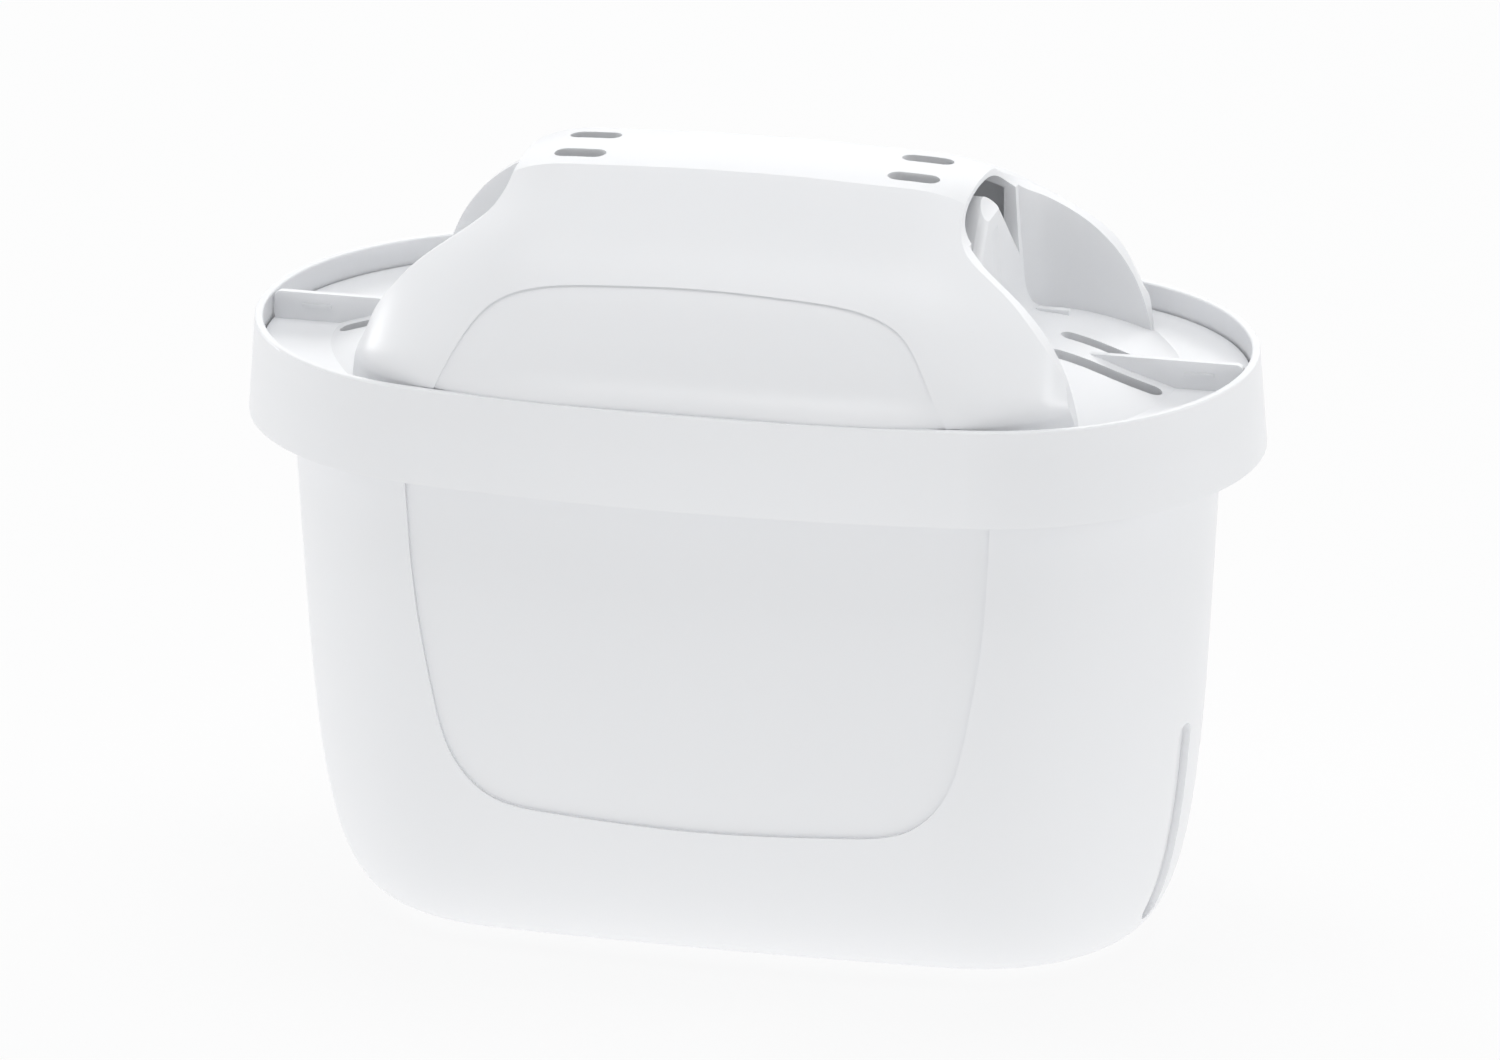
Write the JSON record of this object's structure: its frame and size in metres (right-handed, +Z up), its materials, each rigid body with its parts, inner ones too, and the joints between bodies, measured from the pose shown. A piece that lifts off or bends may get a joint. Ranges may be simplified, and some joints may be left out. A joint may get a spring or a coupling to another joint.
{
  "type": "water pitcher filter cartridge",
  "caption": "Oval water filter cartridge for a pitcher: a tapered cup with a hanging collar, closed by a vaulted lid with open ends, inlet slots and upright fins.",
  "frame": {"origin": "middle of the flat bottom, at its lowest face", "axes": "+X along the long way of the oval, +Y along its short way, +Z up through the lid"},
  "size_m": [0.1076, 0.0602, 0.0827],
  "materials": {
    "housing": "satin",
    "screen": "fine woven mesh",
    "granules": "rough, loose"
  },
  "bodies": {
    "root": {"cup": "housing", "lid": "housing", "inlet_screen": "screen", "outlet_screen": "screen", "filter_media": "granules"}
  },
  "joints": []
}
